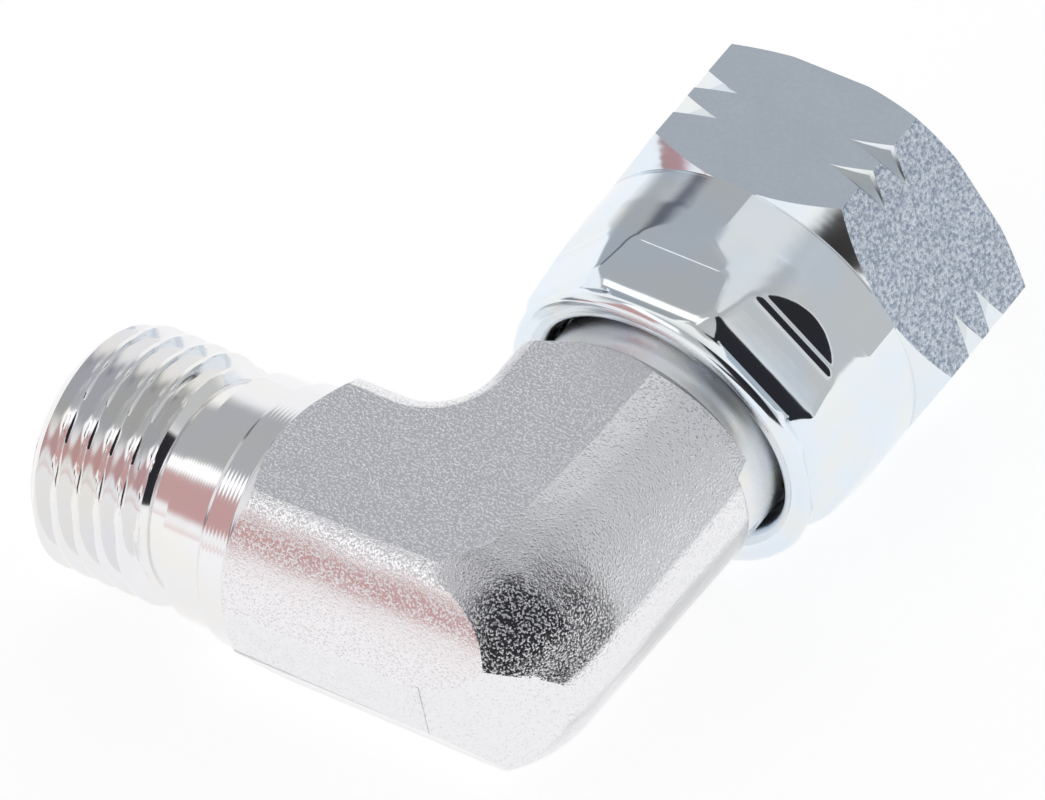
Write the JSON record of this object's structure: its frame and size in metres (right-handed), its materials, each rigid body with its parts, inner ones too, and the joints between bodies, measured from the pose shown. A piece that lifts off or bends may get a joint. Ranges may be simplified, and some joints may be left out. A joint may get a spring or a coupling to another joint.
{
  "type": "swivel elbow hydraulic fitting",
  "caption": "Ninety degree forged steel elbow fitting: threaded male port with cone seat at one end, crimped swivel hexagon nut over a cone nose at the other.",
  "frame": {"origin": "where the male port axis and the nut axis cross, midway between the two flat forged faces", "axes": "-X along the male port axis towards its open end, +Y along the nut axis towards its open end, Z square to both flat forged faces"},
  "size_m": [0.036, 0.038, 0.0194],
  "materials": {
    "forged_steel": "zinc plated over a shot blasted forging, machined bright at both ends",
    "nut_steel": "bright zinc plated turned steel"
  },
  "bodies": {
    "elbow": {"elbow_body": "forged_steel"},
    "nut": {"swivel_nut": "nut_steel"}
  },
  "joints": [
    {"name": "nut_swivel", "type": "hinge", "parent": "elbow", "child": "nut", "pos_m": [0, 0.017, 0], "axis": [0, 1, 0], "continuous": true}
  ]
}
